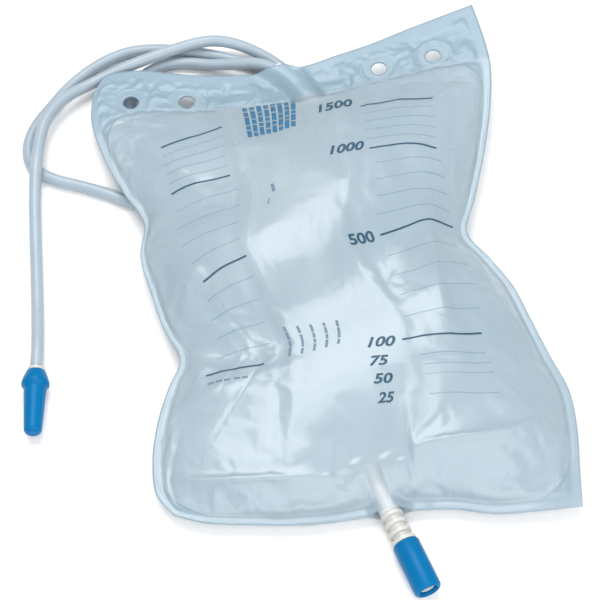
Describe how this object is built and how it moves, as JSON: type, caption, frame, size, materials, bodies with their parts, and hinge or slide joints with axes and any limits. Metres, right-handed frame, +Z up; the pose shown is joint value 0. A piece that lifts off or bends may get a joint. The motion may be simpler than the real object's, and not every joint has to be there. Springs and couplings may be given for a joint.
{
  "type": "urine drainage bag",
  "caption": "Flat welded film bag for collecting urine, with an inlet tube and capped connector, a non-return valve, hanging holes and a push-pull outlet valve.",
  "frame": {"origin": "on the flat spot of the back film that the bag rests on, near the middle of the bag", "axes": "+X across the bag to the right of its printed front, +Y up the bag towards the hanging holes, +Z up out of the front film"},
  "size_m": [0.2722, 0.3555, 0.039],
  "materials": {
    "front_film": "pale blue embossed soft film, satin",
    "back_film": "pale blue embossed soft film, satin",
    "valve_leaf": "thin clear film",
    "clear_plastic": "clear soft plastic",
    "tube": "translucent soft tube, satin",
    "white_plastic": "moulded milky white plastic",
    "blue_plastic": "moulded blue plastic, satin",
    "seal_rubber": "dark moulded rubber"
  },
  "bodies": {
    "bag": {"front_film": "front_film", "back_film": "back_film", "valve_front_leaf": "valve_leaf", "valve_back_leaf": "valve_leaf", "inlet_port": "clear_plastic", "inlet_tube": "tube", "inlet_connector": "white_plastic", "outlet_stub": "clear_plastic", "outlet_valve_stem": "white_plastic", "outlet_seal_upper": "seal_rubber", "outlet_seal_lower": "seal_rubber"},
    "inlet_cap": {"inlet_cap": "blue_plastic"},
    "outlet_sleeve": {"outlet_valve_sleeve": "blue_plastic"}
  },
  "joints": [
    {"name": "inlet_cap_pull", "type": "slide", "parent": "bag", "child": "inlet_cap", "axis": [-0.124, -0.9923, 0], "range_m": [0, 0.04]},
    {"name": "outlet_valve_slide", "type": "slide", "parent": "bag", "child": "outlet_sleeve", "axis": [0.2419, -0.9703, 0], "range_m": [0, 0.008]}
  ]
}
